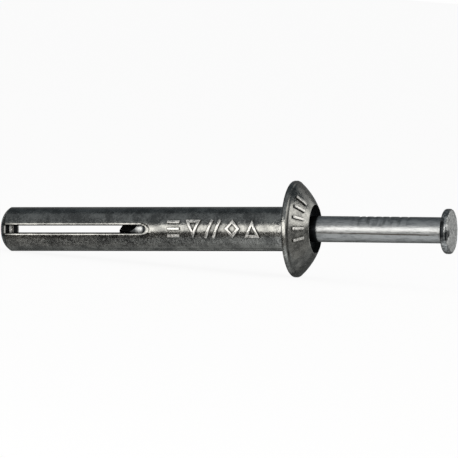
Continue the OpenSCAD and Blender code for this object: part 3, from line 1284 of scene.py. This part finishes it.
def place_facing(thing, location, side, up, back):
    """Puts a lamp or camera at a place, with its own axes along the three directions."""
    thing.location = location
    thing.rotation_mode = "QUATERNION"
    thing.rotation_quaternion = Matrix((side, up, back)).transposed().to_quaternion()


def white_to_the_eye(tree, lit, white):
    """A lit shader that gives way to a white one for camera, glossy and transmission rays."""
    path = add_node(tree, "ShaderNodeLightPath")
    mix = add_node(tree, "ShaderNodeMixShader")
    seen = greatest(tree, *(path.outputs[f"Is {ray} Ray"] for ray in ("Camera", "Glossy", "Transmission")))
    tree.links.new(seen, mix.inputs["Fac"])
    tree.links.new(lit, mix.inputs[1])
    tree.links.new(white, mix.inputs[2])
    return mix.outputs["Shader"]


def set_world(studio):
    """A white surround to the eye, which lights the set softly."""
    world = bpy.data.worlds.new("studio")
    bpy.context.scene.world = world
    world.use_nodes = True
    tree = world.node_tree
    lit = tree.nodes["Background"]
    set_inputs(lit, Color=(*studio.backdrop, 1), Strength=WORLD_STRENGTH)
    white = add_node(tree, "ShaderNodeBackground")
    set_inputs(white, Color=(*studio.backdrop, 1))
    seen = white_to_the_eye(tree, lit.outputs["Background"], white.outputs["Background"])
    tree.links.new(seen, tree.nodes["World Output"].inputs["Surface"])


def bare_material(name):
    """A material without a shader, its node tree and its end socket."""
    material = bpy.data.materials.new(name)
    material.use_nodes = True
    tree = material.node_tree
    tree.nodes.remove(tree.nodes["Principled BSDF"])
    return material, tree, tree.nodes["Material Output"].inputs["Surface"]


def floor_material(studio):
    """Pale floor that keeps the fixing's shadow."""
    material, tree, end = bare_material("floor")
    lit = add_node(tree, "ShaderNodeBsdfDiffuse")
    white = add_node(tree, "ShaderNodeEmission")
    for shader in (lit, white):
        set_inputs(shader, Color=(*studio.backdrop, 1))
    blend = add_node(tree, "ShaderNodeMixShader")
    set_inputs(blend, Fac=FLOOR_WHITE)
    tree.links.new(lit.outputs["BSDF"], blend.inputs[1])
    tree.links.new(white.outputs["Emission"], blend.inputs[2])
    tree.links.new(white_to_the_eye(tree, lit.outputs["BSDF"], blend.outputs["Shader"]), end)
    return material


def card(name, points, faces, colour):
    """A card of even tone, seen only in the metal's reflections."""
    piece = new_object(name, points, faces=faces)
    material, tree, end = bare_material(name)
    tone = add_node(tree, "ShaderNodeEmission")
    set_inputs(tone, Color=(*colour, 1))
    tree.links.new(tone.outputs["Emission"], end)
    piece.data.materials.append(material)
    piece.visible_camera = False
    piece.visible_diffuse = False
    piece.visible_shadow = False
    piece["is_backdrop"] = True


def curved_card(name, low, high, left, right, colour):
    """A strip of an arch along the fixing, between two angles in degrees from the front horizon."""
    steps = max(1, round((high - low) / ARCH_STEP))
    points = []
    for i in range(steps + 1):
        angle = math.radians(low + (high - low) * i / steps)
        y, z = -ARCH_RADIUS * math.cos(angle), ARCH_RADIUS * math.sin(angle)
        points += [(left, y, z), (right, y, z)]
    faces = [(2 * i, 2 * i + 1, 2 * i + 3, 2 * i + 2) for i in range(steps)]
    card(name, points, faces, colour)


def side_card(name, x, top, colour):
    """An upright card across one end of the set, up to a height."""
    half = SIDE_CARD_HALF
    card(name, [(x, -half, -half), (x, half, -half), (x, half, top), (x, -half, top)], [range(4)], colour)


# Places along the set where the cards end and change their tone
REACH = 0.28
LEG_SIDE = -0.11
SHANK_SIDE = -0.0728
LOW_SIDE = -0.06
NAIL_HEAD_SIDE = 0.083
FAR_SIDE = 0.135
# Each curved card: its lowest and highest angle from the front horizon, its left and right end, its tone
CARDS = (
    ("upper_card_left", 19, 90, -REACH, SHANK_SIDE, (0.30, 0.325, 0.345)),
    ("upper_card_right", 19, 90, SHANK_SIDE, REACH, (0.42, 0.45, 0.47)),
    ("overhead_card", 90, 140, -REACH, REACH, (0.12, 0.14, 0.155)),
    ("back_card", 140, 190, -REACH, NAIL_HEAD_SIDE, (0.17, 0.175, 0.175)),
    ("back_card_right", 140, 190, NAIL_HEAD_SIDE, REACH, (0.97, 0.98, 0.96)),
    ("lower_card_left", -40, -12, -REACH, LEG_SIDE, (0.075, 0.066, 0.058)),
    ("lower_card_middle", -78, -12, LEG_SIDE, LOW_SIDE, (0.02, 0.018, 0.016)),
    ("lower_card_right", -40, -12, LOW_SIDE, REACH, (0.48, 0.47, 0.45)),
    ("low_card_left", -55, -40, -REACH, LEG_SIDE, (0.24, 0.225, 0.21)),
    ("under_card_left", -100, -55, -REACH, LEG_SIDE, (0.95, 0.95, 0.93)),
    ("under_card_dark", -100, -78, LEG_SIDE, LOW_SIDE, (0.2, 0.2, 0.195)),
    ("under_card_right", -78, -40, LOW_SIDE, REACH, (1.13, 1.18, 1.2)),
    ("under_card_middle", -100, -78, LOW_SIDE, REACH, (0.66, 0.69, 0.70)),
    ("under_card_back_left", -120, -100, -REACH, SHANK_SIDE, (0.32, 0.33, 0.33)),
    ("under_card_back_right", -120, -100, SHANK_SIDE, REACH, (0.50, 0.52, 0.52)),
    ("under_card_far_left", -170, -120, -REACH, FAR_SIDE, (0.115, 0.12, 0.12)),
    ("under_card_far_right", -170, -120, FAR_SIDE, REACH, (0.42, 0.43, 0.43)),
)
# Each side card: its place across the set, how high it reaches, its tone
SIDE_CARDS = (
    ("left_card", -0.55, 0.45, (0.11, 0.12, 0.125)),
    ("right_card", 0.55, 0.1, (0.42, 0.42, 0.41)),
)


class FIXING_OT_studio(Operator):
    """Sets up the floor, the lamps, the cards and the camera"""

    bl_idname = "fixing.studio"
    bl_label = "Studio"

    def execute(self, context):
        studio = context.scene.fixing_studio
        scene = context.scene
        scene.view_settings.view_transform = "Standard"
        set_world(studio)
        half, level = FLOOR_HALF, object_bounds()[0].z
        floor = new_object(
            "floor",
            [(-half, -half, level), (half, -half, level), (half, half, level), (-half, half, level)],
            faces=[range(4)])
        floor.data.materials.append(floor_material(studio))
        floor.visible_glossy = False
        floor.visible_shadow = False
        floor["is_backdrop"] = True
        for values in CARDS:
            curved_card(*values)
        for values in SIDE_CARDS:
            side_card(*values)
        for name, place, size, power in SOFTBOXES:
            self.add_softbox(name, Vector(place), size, getattr(studio, power))
        self.add_camera(studio)
        return {"FINISHED"}

    def add_softbox(self, name, place, size, power):
        """A large soft lamp that faces the fixing."""
        data = bpy.data.lights.new(name, "AREA")
        data.shape = "RECTANGLE"
        data.size, data.size_y = size
        data.energy = power
        data.color = LAMP_COLOUR
        lamp = linked(name, data)
        lamp.visible_camera = False
        back = place.normalized()
        side = Vector((0, 0, 1)).cross(back).normalized()
        place_facing(lamp, place, side, back.cross(side), back)

    def add_camera(self, studio):
        """The camera, rolled so that the fixing's axis is level in the picture."""
        data = bpy.data.cameras.new("camera")
        camera = linked("camera", data)
        bpy.context.scene.camera = camera
        focal = studio.scale * studio.distance / MM
        data.sensor_width = SENSOR_WIDTH
        data.lens = focal * data.sensor_width / PICTURE_SIDE
        data.clip_start = 0.05
        data.clip_end = 50
        azimuth, elevation = studio.azimuth, studio.elevation
        back = fixing_place(
            math.sin(azimuth) * math.cos(elevation),
            math.cos(azimuth) * math.cos(elevation),
            math.sin(elevation))
        side = (AXIS - AXIS.dot(back) * back).normalized()
        up = back.cross(side)
        across = (PICTURE_SIDE / 2 - studio.origin_across) / focal * studio.distance
        down = (studio.origin_down - PICTURE_SIDE / 2) / focal * studio.distance
        location = back * studio.distance + side * across + up * down
        place_facing(camera, location, side, up, back)


# Panel and registration

class FIXING_PT_panel(Panel):
    """Lists the fixing's pieces and their sizes"""

    bl_idname = "FIXING_PT_panel"
    bl_label = "Hammer fixing"
    bl_space_type = "VIEW_3D"
    bl_region_type = "UI"
    bl_category = "Fixing"

    def draw(self, context):
        scene = context.scene
        for operator, settings in (
            ("fixing.studio", scene.fixing_studio),
            ("fixing.sleeve", scene.fixing_sleeve),
            ("fixing.nail", scene.fixing_nail),
            (None, scene.fixing_marks),
            (None, scene.fixing_colours),
        ):
            box = self.layout.box()
            if operator:
                box.operator(operator)
            for name in settings.bl_rna.properties.keys():
                if name not in {"rna_type", "name"}:
                    box.prop(settings, name)


SETTINGS = {
    "fixing_sleeve": SleeveSizes,
    "fixing_nail": NailSizes,
    "fixing_marks": MarkSizes,
    "fixing_colours": FinishColours,
    "fixing_studio": StudioSettings,
}
CLASSES = (*SETTINGS.values(), FIXING_OT_sleeve, FIXING_OT_nail, FIXING_OT_studio, FIXING_PT_panel)


def register():
    """Adds the classes, and their settings to each scene."""
    for cls in CLASSES:
        bpy.utils.register_class(cls)
    for name, cls in SETTINGS.items():
        setattr(bpy.types.Scene, name, PointerProperty(type=cls))


def unregister():
    """Takes the settings and the classes away again."""
    for name in SETTINGS:
        delattr(bpy.types.Scene, name)
    for cls in reversed(CLASSES):
        bpy.utils.unregister_class(cls)


def main():
    """Builds the fixing and its studio."""
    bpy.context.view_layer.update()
    register()
    bpy.ops.fixing.studio()
    bpy.ops.fixing.sleeve()
    bpy.ops.fixing.nail()


if __name__ == "__main__":
    main()
